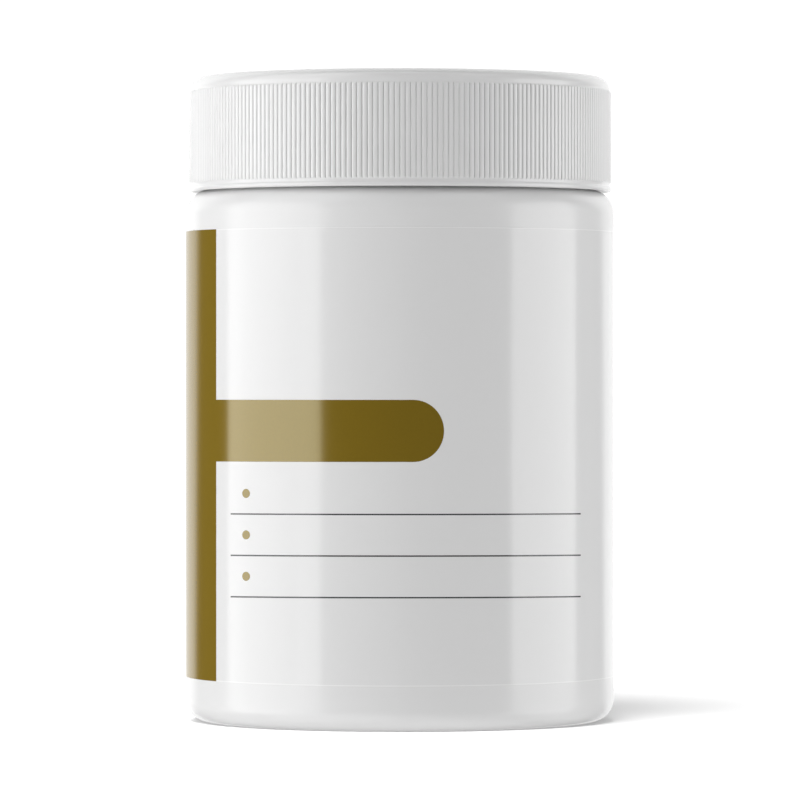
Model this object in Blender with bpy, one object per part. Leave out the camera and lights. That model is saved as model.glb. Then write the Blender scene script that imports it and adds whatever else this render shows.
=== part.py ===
"""A white screw-lid jar for a food powder, taken apart into its five pieces.

The jar stands on the XY plane with its axis on Z, and its front faces -Y.
Every size is in millimetres and is turned into metres where a vertex is made.
"""

import math

import bmesh
import bpy
from mathutils import Matrix, Vector

MM = 0.001
SEGMENTS = 84  # flats round every turned piece
SHARP_ANGLE = math.radians(30)

# Jar: outer wall, heel, shoulder and neck
BODY_RADIUS = 40.0
HEEL_RADIUS = 4.0
SHOULDER_RADIUS = 3.4
WALL = 1.3
SHOULDER_HEIGHT = 99.1
NECK_RADIUS = 36.0
NECK_BORE_RADIUS = 34.4
RIM_HEIGHT = 116.6
RIM_CHAMFER = 0.4
STANDING_RING_RADIUS = 32.5  # inside edge of the ring that the jar stands on
PUSH_UP_RADIUS = 28.0
PUSH_UP_HEIGHT = 2.4
FLOOR_THICKNESS = 1.85

# Label and the shallow panel in the wall that it lies in
LABEL_BOTTOM = 8.3
LABEL_TOP = 91.2
LABEL_THICKNESS = 0.15
LABEL_CLEARANCE = 0.2
LABEL_SEAM = 1.2  # gap between the two ends of the label, at the back
PANEL_RADIUS = BODY_RADIUS - LABEL_THICKNESS - LABEL_CLEARANCE
PANEL_MARGIN = 0.35
INNER_RADIUS = PANEL_RADIUS - WALL

# Lid
LID_BOTTOM = 98.65
LID_TOP = 120.0
LID_TOP_THICKNESS = 1.8
LID_BORE_RADIUS = 37.6
LID_WALL_RADIUS = 39.1  # plain wall above and below the ribs
LID_EDGE_RADIUS = 2.5
LIP_RADIUS = 39.35
LIP_HEIGHT = 0.9
LIP_ROUNDING = 0.3
MOUTH_RADIUS = 38.85  # where the flare inside the lid's bottom edge begins
MOUTH_FLARE = 1.3
RIBS = 3 * SEGMENTS
RIB_CREST_RADIUS = 39.45
RIB_VALLEY_RADIUS = 39.18
RIBS_BOTTOM = 100.0
RIBS_TOP = 117.5
BEAD_RADIUS = 37.05  # undercut bead that keeps the liner in the lid
BEAD_BOTTOM = 115.3
BEAD_TOP = 116.6

# Liner in the lid
LINER_RADIUS = 37.2
LINER_THICKNESS = 1.0
CLEARANCE = 0.3  # between two pieces that touch

# Screw thread, right-handed, one start
PITCH = 5.0
THREAD_TURNS = 1.25
THREAD_DEPTH = 1.2
THREAD_ROOT_HALF_WIDTH = 1.2
THREAD_CREST_HALF_WIDTH = 0.45
THREAD_OVERLAP = 0.5  # how far a thread's root is sunk into its wall
THREAD_START = 0.5 * math.pi  # at the back
THREAD_RUN_OUT = math.radians(24)
JAR_THREAD_BOTTOM = 106.65  # centre of the thread where it starts
THREAD_OFFSET = 1.76  # the lid's thread lies this far under the jar's

# Powder
POWDER_TOP = 70.0
POWDER_MOUND = 0.8


def clear_scene():
    for item in list(bpy.data.objects):
        bpy.data.objects.remove(item, do_unlink=True)


def make_material(name, colour, roughness, metallic=0.0):
    material = bpy.data.materials.new(name)
    material.use_nodes = True
    shader = material.node_tree.nodes["Principled BSDF"]
    shader.inputs["Base Color"].default_value = (*colour, 1.0)
    shader.inputs["Roughness"].default_value = roughness
    shader.inputs["Metallic"].default_value = metallic
    return material


def arc(centre_radius, centre_height, radius, start_degrees, end_degrees, steps=4):
    """Points along a quarter round in the (radius, height) section, ends included."""
    points = []
    for step in range(steps + 1):
        angle = math.radians(start_degrees + (end_degrees - start_degrees) * step / steps)
        points.append(
            (centre_radius + radius * math.cos(angle), centre_height + radius * math.sin(angle))
        )
    return points


def polar(radius, angle, height):
    """A point in metres from a radius, an angle and a height in millimetres."""
    return Vector((radius * math.cos(angle), radius * math.sin(angle), height)) * MM


def add_ring(mesh, radius, height):
    """One ring of vertices, or a single vertex where the section meets the axis."""
    if radius == 0.0:
        return [mesh.verts.new((0.0, 0.0, height * MM))]
    step = 2.0 * math.pi / SEGMENTS
    return [mesh.verts.new(polar(radius, index * step, height)) for index in range(SEGMENTS)]


def skin(mesh, first, second):
    """Faces between two rings; a ring of one vertex is a pole."""
    for index in range(max(len(first), len(second))):
        corners = []
        for ring, order in ((first, (0, 1)), (second, (1, 0))):
            for offset in order:
                corner = ring[(index + offset) % len(ring)]
                if corner not in corners:
                    corners.append(corner)
        mesh.faces.new(corners)


def turn_section(mesh, section):
    """Turns a section, a list of (radius, height), round Z and returns its rings."""
    rings = [add_ring(mesh, radius, height) for radius, height in section]
    for first, second in zip(rings, rings[1:]):
        skin(mesh, first, second)
    return rings


def finish_object(name, mesh, material):
    """Makes the object of a closed mesh, with its faces turned outwards."""
    bmesh.ops.recalc_face_normals(mesh, faces=mesh.faces)
    data = bpy.data.meshes.new(name)
    mesh.to_mesh(data)
    mesh.free()
    data.shade_smooth()
    data.set_sharp_from_angle(angle=SHARP_ANGLE)
    data.materials.append(material)
    item = bpy.data.objects.new(name, data)
    bpy.context.collection.objects.link(item)
    return item


def turned_object(name, section, material):
    mesh = bmesh.new()
    turn_section(mesh, section)
    return finish_object(name, mesh, material)


def thread_section(wall_radius, outwards, run_out):
    """Section of a thread on a wall: four corners as (radius, height from its centre).

    run_out is 1 along the thread and 0 at its two ends, where it sinks into the wall.
    """
    crest_radius = wall_radius + outwards * THREAD_DEPTH * run_out
    root_radius = wall_radius - outwards * THREAD_OVERLAP
    slope = (THREAD_ROOT_HALF_WIDTH - THREAD_CREST_HALF_WIDTH) / THREAD_DEPTH
    root_half_width = THREAD_ROOT_HALF_WIDTH + slope * THREAD_OVERLAP
    crest_half_width = THREAD_CREST_HALF_WIDTH + slope * THREAD_DEPTH * (1.0 - run_out)
    return [
        (root_radius, -root_half_width),
        (crest_radius, -crest_half_width),
        (crest_radius, crest_half_width),
        (root_radius, root_half_width),
    ]


def make_thread(name, wall_radius, outwards, bottom, material):
    """A helical ridge to be united with its wall; it isn't a piece of its own."""
    mesh = bmesh.new()
    steps = round(THREAD_TURNS * SEGMENTS)
    length = 2.0 * math.pi * THREAD_TURNS
    sections = []
    for step in range(steps + 1):
        travelled = length * step / steps
        to_end = min(travelled, length - travelled)
        run_out = min(1.0, 0.05 + to_end / THREAD_RUN_OUT)
        height = bottom + PITCH * travelled / (2.0 * math.pi)
        half_step = math.pi / SEGMENTS
        angle = THREAD_START + half_step + travelled
        corners = [
            mesh.verts.new(polar(radius, angle, height + rise))
            for radius, rise in thread_section(wall_radius, outwards, run_out)
        ]
        sections.append(corners)
    mesh.faces.new(sections[0])
    mesh.faces.new(sections[-1])
    for first, second in zip(sections, sections[1:]):
        skin(mesh, first, second)
    thread = finish_object(name, mesh, material)
    thread.hide_render = True
    thread.display_type = "WIRE"
    return thread


def unite(item, tool):
    modifier = item.modifiers.new("unite_" + tool.name, "BOOLEAN")
    modifier.operation = "UNION"
    modifier.object = tool
    tool.parent = item


def jar_outside():
    """Section from the middle of the base, out round the heel and up to the rim."""
    heel_centre = BODY_RADIUS - HEEL_RADIUS
    shoulder_centre = BODY_RADIUS - SHOULDER_RADIUS
    return [
        (0.0, PUSH_UP_HEIGHT + 0.2),
        (PUSH_UP_RADIUS, PUSH_UP_HEIGHT),
        (STANDING_RING_RADIUS, 0.0),
        *arc(heel_centre, HEEL_RADIUS, HEEL_RADIUS, -90, 0),
        (BODY_RADIUS, LABEL_BOTTOM - 2.0 * PANEL_MARGIN),
        (PANEL_RADIUS, LABEL_BOTTOM - PANEL_MARGIN),
        (PANEL_RADIUS, LABEL_TOP + PANEL_MARGIN),
        (BODY_RADIUS, LABEL_TOP + 2.0 * PANEL_MARGIN),
        *arc(shoulder_centre, SHOULDER_HEIGHT - SHOULDER_RADIUS, SHOULDER_RADIUS, 0, 90),
        (NECK_RADIUS, SHOULDER_HEIGHT),
        (NECK_RADIUS, RIM_HEIGHT - RIM_CHAMFER),
        (NECK_RADIUS - RIM_CHAMFER, RIM_HEIGHT),
    ]


def jar_inside():
    """Section from the rim down the neck and the wall to the middle of the floor."""
    heel = HEEL_RADIUS - WALL
    shoulder = SHOULDER_RADIUS - WALL
    ring_radius = STANDING_RING_RADIUS - 0.3
    return [
        (NECK_BORE_RADIUS + RIM_CHAMFER, RIM_HEIGHT),
        (NECK_BORE_RADIUS, RIM_HEIGHT - RIM_CHAMFER),
        (NECK_BORE_RADIUS, SHOULDER_HEIGHT - 0.5),
        *arc(INNER_RADIUS - shoulder, SHOULDER_HEIGHT - SHOULDER_RADIUS, shoulder, 90, 0, steps=3),
        *arc(INNER_RADIUS - heel, FLOOR_THICKNESS + heel, heel, 0, -90, steps=3),
        (ring_radius, FLOOR_THICKNESS),
        (PUSH_UP_RADIUS - 0.2, PUSH_UP_HEIGHT + FLOOR_THICKNESS - 0.1),
        (0.0, PUSH_UP_HEIGHT + FLOOR_THICKNESS + 0.1),
    ]


def make_jar_body():
    white = make_material("white_jar_plastic", (0.86, 0.86, 0.86), 0.36)
    jar = turned_object("jar_body", jar_outside() + jar_inside(), white)
    thread = make_thread("jar_thread", NECK_RADIUS, 1.0, JAR_THREAD_BOTTOM, white)
    unite(jar, thread)
    return jar


def make_powder():
    """The powder fills the jar to about two thirds and keeps clear of its walls."""
    radius = INNER_RADIUS - CLEARANCE
    floor = FLOOR_THICKNESS + CLEARANCE
    rounding = HEEL_RADIUS - WALL - CLEARANCE
    raised_floor = PUSH_UP_HEIGHT + FLOOR_THICKNESS + CLEARANCE
    section = [
        (0.0, raised_floor + 0.1),
        (PUSH_UP_RADIUS - 0.1, raised_floor),
        (STANDING_RING_RADIUS - 0.1, floor),
        *arc(radius - rounding, floor + rounding, rounding, -90, 0, steps=3),
        (radius, POWDER_TOP - POWDER_MOUND),
        (0.7 * radius, POWDER_TOP - 0.3 * POWDER_MOUND),
        (0.3 * radius, POWDER_TOP + 0.6 * POWDER_MOUND),
        (0.0, POWDER_TOP + 0.8 * POWDER_MOUND),
    ]
    tan = make_material("mushroom_powder_tan", (0.42, 0.29, 0.17), 0.95)
    return turned_object("mushroom_powder", section, tan)


def make_label():
    """A wrapped label: a thin upright strip bent round the jar, open at the back."""
    outer_radius = BODY_RADIUS
    inner_radius = BODY_RADIUS - LABEL_THICKNESS
    seam_angle = LABEL_SEAM / BODY_RADIUS
    span = 2.0 * math.pi - seam_angle
    start = 0.5 * math.pi + 0.5 * seam_angle
    mesh = bmesh.new()
    sections = []
    for step in range(SEGMENTS + 1):
        angle = start + span * step / SEGMENTS
        corners = [
            mesh.verts.new(polar(radius, angle, height))
            for radius, height in (
                (inner_radius, LABEL_BOTTOM),
                (outer_radius, LABEL_BOTTOM),
                (outer_radius, LABEL_TOP),
                (inner_radius, LABEL_TOP),
            )
        ]
        sections.append(corners)
    mesh.faces.new(sections[0])
    mesh.faces.new(sections[-1])
    for first, second in zip(sections, sections[1:]):
        skin(mesh, first, second)
    film = make_material("label_film", (0.85, 0.85, 0.85), 0.42)
    return finish_object("label", mesh, film)


def lid_top_section():
    """Section from the middle of the top to the foot of its rounded edge."""
    centre_radius = LID_WALL_RADIUS - LID_EDGE_RADIUS
    centre_height = LID_TOP - LID_EDGE_RADIUS
    return [(0.0, LID_TOP), *arc(centre_radius, centre_height, LID_EDGE_RADIUS, 90, 0)]


def lid_lower_section():
    """Section from under the ribs, round the lip, up the bore and over to the axis."""
    lip_top = LID_BOTTOM + LIP_HEIGHT
    ceiling = LID_TOP - LID_TOP_THICKNESS
    bead_middle = 0.5 * (BEAD_BOTTOM + BEAD_TOP)
    return [
        (LID_WALL_RADIUS, RIBS_BOTTOM),
        (LID_WALL_RADIUS, lip_top),
        (LIP_RADIUS, lip_top - LIP_ROUNDING),
        (LIP_RADIUS, LID_BOTTOM + LIP_ROUNDING),
        (LIP_RADIUS - LIP_ROUNDING, LID_BOTTOM),
        (MOUTH_RADIUS, LID_BOTTOM),
        (LID_BORE_RADIUS, LID_BOTTOM + MOUTH_FLARE),
        (LID_BORE_RADIUS, BEAD_BOTTOM),
        (BEAD_RADIUS, bead_middle - 0.1),
        (BEAD_RADIUS, bead_middle + 0.1),
        (LID_BORE_RADIUS, BEAD_TOP),
        (LID_BORE_RADIUS, ceiling),
        (0.0, ceiling),
    ]


def add_ribbed_ring(mesh, height):
    """A zigzag ring: a valley and a crest in turn, three ribs to each flat of the lid."""
    step = math.pi / RIBS
    ring = []
    for index in range(2 * RIBS):
        radius = RIB_CREST_RADIUS if index % 2 else RIB_VALLEY_RADIUS
        ring.append(mesh.verts.new(polar(radius, index * step, height)))
    return ring


def add_rib_ledge(mesh, plain, ribbed):
    """The flat ends of the ribs, one face to each flat between a plain and a ribbed ring."""
    per_flat = len(ribbed) // len(plain)
    for index in range(len(plain)):
        first = index * per_flat
        outer = [ribbed[(first + offset) % len(ribbed)] for offset in range(per_flat + 1)]
        mesh.faces.new([plain[index], *outer, plain[(index + 1) % len(plain)]])


def make_lid():
    mesh = bmesh.new()
    top_rings = turn_section(mesh, lid_top_section())
    lower_rings = turn_section(mesh, lid_lower_section())
    ribs_top = add_ribbed_ring(mesh, RIBS_TOP)
    ribs_bottom = add_ribbed_ring(mesh, RIBS_BOTTOM)
    skin(mesh, ribs_top, ribs_bottom)
    add_rib_ledge(mesh, top_rings[-1], ribs_top)
    add_rib_ledge(mesh, lower_rings[0], ribs_bottom)
    white = make_material("white_lid_plastic", (0.86, 0.86, 0.86), 0.34)
    lid = finish_object("lid", mesh, white)
    lid_thread_bottom = JAR_THREAD_BOTTOM - THREAD_OFFSET
    thread = make_thread("lid_thread", LID_BORE_RADIUS, -1.0, lid_thread_bottom, white)
    unite(lid, thread)
    return lid


def make_liner():
    """A round wad between the rim of the jar and the top of the lid."""
    bottom = RIM_HEIGHT + CLEARANCE
    section = [
        (0.0, bottom),
        (LINER_RADIUS, bottom),
        (LINER_RADIUS, bottom + LINER_THICKNESS),
        (0.0, bottom + LINER_THICKNESS),
    ]
    foam = make_material("liner_foam", (0.80, 0.80, 0.76), 0.75)
    return turned_object("lid_liner", section, foam)


def add_joint_axis(items):
    """An empty on the screw axis, level with the rim, that carries what the lid moves."""
    axis = bpy.data.objects.new("lid_axis", None)
    axis.location = (0.0, 0.0, RIM_HEIGHT * MM)
    bpy.context.collection.objects.link(axis)
    for item in items:
        item.parent = axis
        item.matrix_parent_inverse = Matrix.Translation(-axis.location)


def main():
    clear_scene()
    make_jar_body()
    make_powder()
    make_label()
    add_joint_axis([make_lid(), make_liner()])


main()
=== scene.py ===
"""Finish and studio for a white screw-lid powder jar: an add-on that is run as a script.

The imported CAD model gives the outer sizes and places, and the settings below hold the finer ones.
Each operator models one piece or one group of like pieces, and the last one sets up the studio.
"""

import math

import bmesh
import bpy
from bpy.props import FloatProperty, FloatVectorProperty, IntProperty, PointerProperty
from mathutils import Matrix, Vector


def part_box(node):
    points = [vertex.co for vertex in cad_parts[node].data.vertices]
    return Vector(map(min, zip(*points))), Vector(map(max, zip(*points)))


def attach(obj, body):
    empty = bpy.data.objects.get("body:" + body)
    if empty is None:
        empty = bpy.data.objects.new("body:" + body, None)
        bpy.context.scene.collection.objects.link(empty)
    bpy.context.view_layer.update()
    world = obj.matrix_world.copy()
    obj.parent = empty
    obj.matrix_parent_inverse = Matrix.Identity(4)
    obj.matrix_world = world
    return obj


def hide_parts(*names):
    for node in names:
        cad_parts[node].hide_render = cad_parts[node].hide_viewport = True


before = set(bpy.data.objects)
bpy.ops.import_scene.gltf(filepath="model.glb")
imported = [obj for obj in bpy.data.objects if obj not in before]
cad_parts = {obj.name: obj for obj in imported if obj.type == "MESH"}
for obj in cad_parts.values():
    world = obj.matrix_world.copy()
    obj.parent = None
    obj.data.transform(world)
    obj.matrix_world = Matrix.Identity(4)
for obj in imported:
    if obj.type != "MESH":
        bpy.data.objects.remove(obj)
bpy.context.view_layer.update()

bl_info = {
    "name": "Powder Jar Finish",
    "version": (1, 0, 0),
    "blender": (4, 5, 0),
    "location": "View3D > Sidebar > Powder Jar",
    "description": "Models and finishes a white screw-lid powder jar in a pale studio",
    "category": "Add Mesh",
}

JAR_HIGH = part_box("jar_body")[1]
LID_LOW, LID_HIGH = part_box("lid")
LABEL_LOW, LABEL_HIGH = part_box("label")
POWDER_LOW, POWDER_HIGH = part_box("mushroom_powder")
MM = 0.001
FULL_TURN = 2.0 * math.pi
SMOOTH_ANGLE = math.radians(35)
TINY_EDGE = 0.005 * MM
NEARBY = 0.01 * MM

# How finely the round pieces are divided
WALL_SIDES = 192
LABEL_SIDES = 240
POWDER_SIDES = 128
BULLET_SIDES = 32
FLOOR_SIDES = 128
THREAD_STEPS = 144

# The room that the jar reflects. Its lights are brightnesses, where white is 1, and the backdrop's
# middle rises by so many degrees. An edge is where a light fades in: the cosine of the angle from
# the backdrop's middle, and the height of the direction for the bounce from below.
BACKDROP_RISE = 25.0
BACKDROP_EDGE = (0.65, 0.75)
BACKDROP_LIGHT = 1.12
FRONT_LIGHT = 0.08
BOUNCE_EDGE = (-0.35, -0.55)
BOUNCE_LIGHT = 0.5

# The floor: its tone for the camera, its tone for the jar, and its glow on the jar, which is
# stronger where they meet, out to a reach that is counted in radii of the jar
FLOOR_RADIUS = 0.7
FLOOR_SINK = 0.02 * MM
FLOOR_TONE = 0.8
FLOOR_BOUNCE = 0.25
FLOOR_GLOW = 0.19
CONTACT_GLOW = 0.26
CONTACT_REACH = 1.5

# The lamps, and how wide the floor's lamp spreads, in degrees
LIGHT_DISTANCE = 1.5
FLOOR_LIGHT = 3.0
FLOOR_LIGHT_SPREAD = 30.0

CAMERA_DISTANCE = 1.12
CAMERA_HEIGHT = 64.84 * MM
CAMERA_DIP = 0.258
CAMERA_LENS = 269.6
CAMERA_SENSOR = 36.0


def length(name, description, default):
    return FloatProperty(
        name=name, description=description, default=default, unit="LENGTH", subtype="DISTANCE"
    )


def colour(name, description, default):
    return FloatVectorProperty(
        name=name, description=description, default=default, size=3,
        min=0.0, max=1.0, subtype="COLOR",
    )


class JarSizes(bpy.types.PropertyGroup):
    """Sizes of the jar, its label and what it holds"""

    wall_radius: length("Wall radius", "Outside of the jar's wall", JAR_HIGH.x - 0.07 * MM)
    heel_radius: length("Heel radius", "Rounding of the heel", 4.0 * MM)
    shoulder_radius: length("Shoulder radius", "Rounding of the shoulder", 4.6 * MM)
    wall: length("Wall thickness", "Thickness of the jar's wall", 1.5 * MM)
    shoulder_height: length("Shoulder height", "Foot of the neck", 99.1 * MM)
    neck_radius: length("Neck radius", "Outside of the neck", 36.0 * MM)
    neck_bore: length("Neck bore radius", "Inside of the neck", 34.4 * MM)
    ring_radius: length("Standing ring radius", "Inside of the ring it stands on", 32.5 * MM)
    push_up: length("Push-up", "Height of the raised base", 2.4 * MM)
    base_top: length("Base top", "Height of the floor inside, over the ring", 1.85 * MM)
    label_thickness: length("Label thickness", "Thickness of the label film", 0.04 * MM)
    label_gap: length("Label gap", "Gap between the wall and the label", 0.01 * MM)
    ink_thickness: length("Ink thickness", "Thickness of a printed layer", 0.012 * MM)
    ink_gap: length("Ink gap", "Gap between the label and its ink", 0.004 * MM)
    powder_heap: length("Powder heap", "Rise of the powder to its middle", 0.7 * MM)
    powder_ripple: length("Powder ripple", "Height of the lumps on the powder", 0.7 * MM)


class LidSizes(bpy.types.PropertyGroup):
    """Sizes of the ribbed screw lid"""

    wall_radius: length("Wall radius", "Plain wall between the ribs", LID_HIGH.x - 0.27 * MM)
    edge_radius: length("Top edge radius", "Rounding of the top edge", 2.5 * MM)
    top_thickness: length("Top thickness", "Thickness of the flat top", 1.8 * MM)
    bore: length("Bore radius", "Inside of the skirt", 37.6 * MM)
    mouth: length("Mouth radius", "Flare of the bore at the mouth", 38.85 * MM)
    bead_height: length("Bead height", "Middle of the bead under the liner", 115.95 * MM)
    bead_depth: length("Bead depth", "How far the bead stands into the bore", 0.55 * MM)
    gate_radius: length("Gate radius", "Radius of the moulding gate's mark", 3.0 * MM)
    gate_depth: length("Gate depth", "Depth of the moulding gate's mark", 0.35 * MM)
    lip_top: length("Lip top", "Height of the upper edge of the lip", 99.55 * MM)
    rib_bottom: length("Rib bottom", "Height where the ribs start", 100.0 * MM)
    rib_top: length("Rib top", "Height where the ribs end", 117.5 * MM)
    rib_depth: length("Rib depth", "How far a rib stands out", 0.27 * MM)
    rib_slope: length("Rib slope", "How far the ends of a rib slope", 0.3 * MM)
    rib_edge: length("Rib edge", "Rounding of the edges of a rib", 0.24 * MM)
    groove_width: length("Groove width", "Width of the groove between two ribs", 0.25 * MM)
    ribs: IntProperty(name="Ribs", description="Ribs round the lid", default=252, min=24)


class ThreadSizes(bpy.types.PropertyGroup):
    """Sizes of the right-handed screw thread"""

    pitch: length("Pitch", "Rise in one turn", 5.0 * MM)
    depth: length("Depth", "How far the thread stands out", 1.2 * MM)
    root_width: length("Root width", "Width of the thread at its wall", 2.4 * MM)
    crest_width: length("Crest width", "Width of the thread at its crest", 0.9 * MM)
    jar_start: length("Jar thread start", "Height where the jar's thread starts", 106.65 * MM)
    lid_start: length("Lid thread start", "Height where the lid's thread starts", 104.89 * MM)
    turns: FloatProperty(name="Turns", description="Turns of thread", default=1.25, min=0.5)


class PrintSizes(bpy.types.PropertyGroup):
    """Places on the label, measured round it from the middle of its front"""

    band_left: length("Band left", "Left edge of the gold band", -78.0 * MM)
    band_right: length("Band right", "Right edge of the gold band", -40.1 * MM)
    tab_end: length("Tab end", "Tip of the gold tab", 8.0 * MM)
    tab_bottom: length("Tab bottom", "Lower edge of the gold tab", 48.8 * MM)
    tab_top: length("Tab top", "Upper edge of the gold tab", 60.0 * MM)
    rule_left: length("Rule left", "Left end of the ruled lines", -35.4 * MM)
    rule_right: length("Rule right", "Right end of the ruled lines", 39.0 * MM)
    rule_top: length("Top rule", "Height of the top ruled line", 39.33 * MM)
    rule_pitch: length("Rule pitch", "Distance between two ruled lines", 7.5 * MM)
    rule_width: length("Rule width", "Thickness of a ruled line", 0.26 * MM)
    bullet_place: length("Bullet place", "Middle of the bullets", -31.1 * MM)
    bullet_rise: length("Bullet rise", "Height of a bullet above its line", 3.73 * MM)
    bullet_width: length("Bullet width", "Width of a bullet round the label", 2.04 * MM)
    bullet_height: length("Bullet height", "Height of a bullet", 1.65 * MM)
    level_row: length("Level row", "Height at which the rows of print run level", 64.8 * MM)
    row_sag: FloatProperty(
        name="Row sag", description="How much a row sags at the sides, for its depth",
        default=0.025, min=0.0,
    )


class JarColours(bpy.types.PropertyGroup):
    """Colours of the finishes"""

    jar: colour("Jar plastic", "Colour of the jar", (0.83, 0.83, 0.83))
    lid: colour("Lid plastic", "Colour of the lid", (0.83, 0.83, 0.83))
    film: colour("Label film", "Colour of the label", (0.83, 0.83, 0.83))
    gold: colour("Gold ink", "Colour of the band, the tab and the bullets", (0.19, 0.122, 0.006))
    gold_shine: colour("Gold shine", "Tint of the light the gold ink reflects", (1.0, 0.95, 0.68))
    grey: colour("Grey ink", "Colour of the ruled lines", (0.07, 0.07, 0.07))
    foam: colour("Liner foam", "Colour of the liner", (0.8, 0.8, 0.76))
    powder: colour("Powder", "Colour of the powder", (0.42, 0.29, 0.17))
    powder_dark: colour("Powder specks", "Colour of its darker grains", (0.2, 0.12, 0.06))


# ---------------------------------------------------------------- modelling by hand


def add_cylinder(name, sides, radius, low, high, ends="NGON"):
    """A cylinder primitive between two heights, as the piece being worked on."""
    bpy.ops.object.select_all(action="DESELECT")
    bpy.ops.mesh.primitive_cylinder_add(
        vertices=sides, radius=radius, depth=high - low, end_fill_type=ends,
        location=(0.0, 0.0, 0.5 * (low + high)),
    )
    piece = bpy.context.object
    piece.name = name
    piece.data.name = name
    bpy.ops.object.transform_apply(location=True, rotation=True, scale=True)
    return piece


def choose(piece):
    """Makes the piece the active one and the only one selected."""
    bpy.ops.object.select_all(action="DESELECT")
    piece.select_set(True)
    bpy.context.view_layer.objects.active = piece


def edit(piece, kind="FACE"):
    """Opens the piece for editing with nothing selected."""
    choose(piece)
    bpy.ops.object.mode_set(mode="EDIT")
    bpy.ops.mesh.select_mode(type=kind)
    bpy.ops.mesh.select_all(action="DESELECT")


def leave_edit():
    bpy.ops.object.mode_set(mode="OBJECT")


def pick(piece, kind, test):
    """Selects what passes the test of its middle and its corners, in the piece being edited."""
    bpy.ops.mesh.select_mode(type=kind)
    bpy.ops.mesh.select_all(action="DESELECT")
    mesh = bmesh.from_edit_mesh(piece.data)
    for item in {"FACE": mesh.faces, "EDGE": mesh.edges}[kind]:
        corners = [vertex.co for vertex in item.verts]
        middle = sum(corners, Vector()) / len(corners)
        item.select_set(test(middle, corners))
    mesh.select_flush_mode()
    bmesh.update_edit_mesh(piece.data)


def pick_cap(piece, height):
    """Selects the flat cap at this height."""
    pick(piece, "FACE", lambda middle, corners: middle.xy.length < MM and near(middle.z, height))


def near(first, second):
    return abs(first - second) < NEARBY


def draw_out(start, outline):
    """Extrudes the selected cap through an outline of (radius, height) corners."""
    radius, height = start
    for next_radius, next_height in outline:
        bpy.ops.mesh.extrude_region_move(
            TRANSFORM_OT_translate={"value": (0.0, 0.0, next_height - height)}
        )
        size = next_radius / radius
        bpy.ops.transform.resize(
            value=(size, size, 1.0), center_override=(0.0, 0.0, next_height)
        )
        radius, height = next_radius, next_height


def arc(centre, radius, start, end, steps):
    """Corners of a rounded edge after its first, in the (radius, height) section, in degrees."""
    corners = []
    for step in range(1, steps + 1):
        angle = math.radians(start + (end - start) * step / steps)
        corners.append(
            (centre[0] + radius * math.cos(angle), centre[1] + radius * math.sin(angle))
        )
    return corners


def apply_modifier(piece, kind, **settings):
    """Adds a modifier with these settings and applies it."""
    choose(piece)
    modifier = piece.modifiers.new(kind.title(), kind)
    for name, value in settings.items():
        setattr(modifier, name, value)
    bpy.ops.object.modifier_apply(modifier=modifier.name)


def shade(piece):
    choose(piece)
    bpy.ops.object.shade_smooth_by_angle(angle=SMOOTH_ANGLE)


def finish_piece(piece, body, slot, material, *nodes):
    """Gives the piece its finish and its body, and hides the CAD nodes that it stands for."""
    shade(piece)
    piece.data.materials.clear()
    piece.data.materials.append(material)
    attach(piece, body)
    if nodes:
        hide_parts(*nodes)


def make_thread(name, wall_radius, outwards, start):
    """A helical ridge on a wall: a four-sided section wound up by a screw modifier."""
    sizes = bpy.context.scene.powder_jar_thread
    bpy.ops.object.select_all(action="DESELECT")
    bpy.ops.mesh.primitive_plane_add(size=1.0, location=(0.0, 0.0, 0.0))
    thread = bpy.context.object
    thread.name = name
    sunk = 0.5 * MM
    slope = 0.5 * (sizes.root_width - sizes.crest_width) / sizes.depth
    root_half = 0.5 * sizes.root_width + slope * sunk
    crest_half = 0.5 * sizes.crest_width
    root = wall_radius - outwards * sunk
    crest = wall_radius + outwards * sizes.depth
    for vertex in thread.data.vertices:
        at_crest = vertex.co.x > 0.0
        half = crest_half if at_crest else root_half
        rise = math.copysign(half, vertex.co.y)
        vertex.co = (0.0, crest if at_crest else root, start + rise)
    steps = round(sizes.turns * THREAD_STEPS)
    apply_modifier(
        thread, "SCREW", axis="Z", angle=sizes.turns * FULL_TURN,
        screw_offset=sizes.turns * sizes.pitch, steps=steps, render_steps=steps,
        use_merge_vertices=False,
    )
    edit(thread, "EDGE")
    bpy.ops.mesh.select_non_manifold()
    bpy.ops.mesh.edge_face_add()
    bpy.ops.mesh.select_all(action="SELECT")
    bpy.ops.mesh.normals_make_consistent(inside=False)
    leave_edit()
    sink_ends(thread, wall_radius, outwards, start)
    return thread


def sink_ends(thread, wall_radius, outwards, start):
    """Lets both ends of a thread run out into its wall over a fifteenth of a turn."""
    sizes = bpy.context.scene.powder_jar_thread
    travel = sizes.turns * FULL_TURN
    for vertex in thread.data.vertices:
        radius = vertex.co.xy.length
        proud = outwards * (radius - wall_radius)
        if proud <= 0.0:
            continue
        angle = (math.atan2(vertex.co.y, vertex.co.x) - 0.5 * math.pi) % FULL_TURN
        turns = round((vertex.co.z - start) / sizes.pitch - angle / FULL_TURN)
        travelled = angle + turns * FULL_TURN
        share = min(1.0, min(travelled, travel - travelled) / (FULL_TURN / 15) + 0.02)
        scale = (wall_radius + outwards * proud * share) / radius
        vertex.co.x *= scale
        vertex.co.y *= scale


def unite(piece, tool):
    """Joins a thread to its wall, removes the loose copy and merges the tiny edges left over."""
    apply_modifier(piece, "BOOLEAN", operation="UNION", object=tool, solver="EXACT")
    bpy.data.objects.remove(tool, do_unlink=True)
    edit(piece)
    bpy.ops.mesh.select_all(action="SELECT")
    bpy.ops.mesh.remove_doubles(threshold=TINY_EDGE)
    leave_edit()


# ---------------------------------------------------------------- finishes


# Colour sockets of a mix node
MIX_A, MIX_B, MIX_RESULT = 6, 7, 2


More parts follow.
